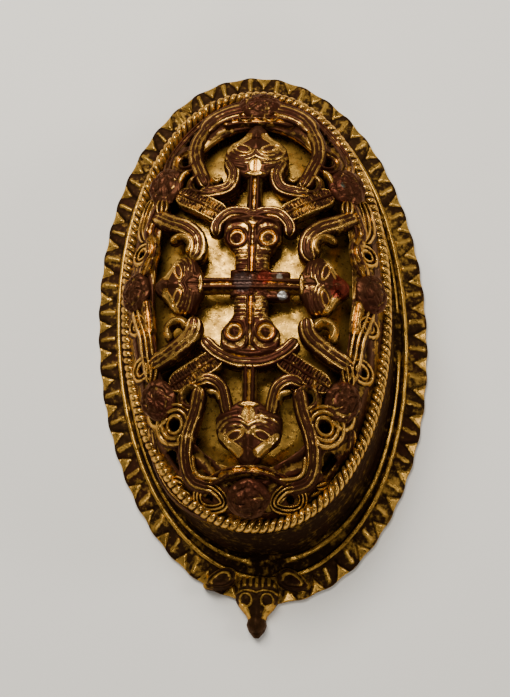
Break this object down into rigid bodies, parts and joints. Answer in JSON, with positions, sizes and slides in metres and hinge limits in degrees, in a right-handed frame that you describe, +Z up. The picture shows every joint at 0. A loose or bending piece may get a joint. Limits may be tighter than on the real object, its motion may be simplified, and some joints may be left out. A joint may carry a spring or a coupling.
{
  "type": "oval brooch",
  "caption": "Domed oval brooch of two shells: a hollow fluted lower shell and a pierced strapwork upper shell with bosses, masks and animal heads.",
  "frame": {"origin": "middle of the plan's box, terminal included, on the plane that the rim rests on", "axes": "+Z up through the dome, +Y along the length towards the plain end, so the animal-head terminal points along -Y"},
  "size_m": [0.0702, 0.1224, 0.0376],
  "materials": {
    "gilt_bronze": "cast and fire-gilded, bright in the hollows and rubbed to brown on the edges",
    "worn_gilt_bronze": "cast and fire-gilded, worn through to dark reddish brown metal on the high points"
  },
  "bodies": {
    "root": {"lower_shell": "gilt_bronze", "upper_shell": "worn_gilt_bronze"}
  },
  "joints": []
}
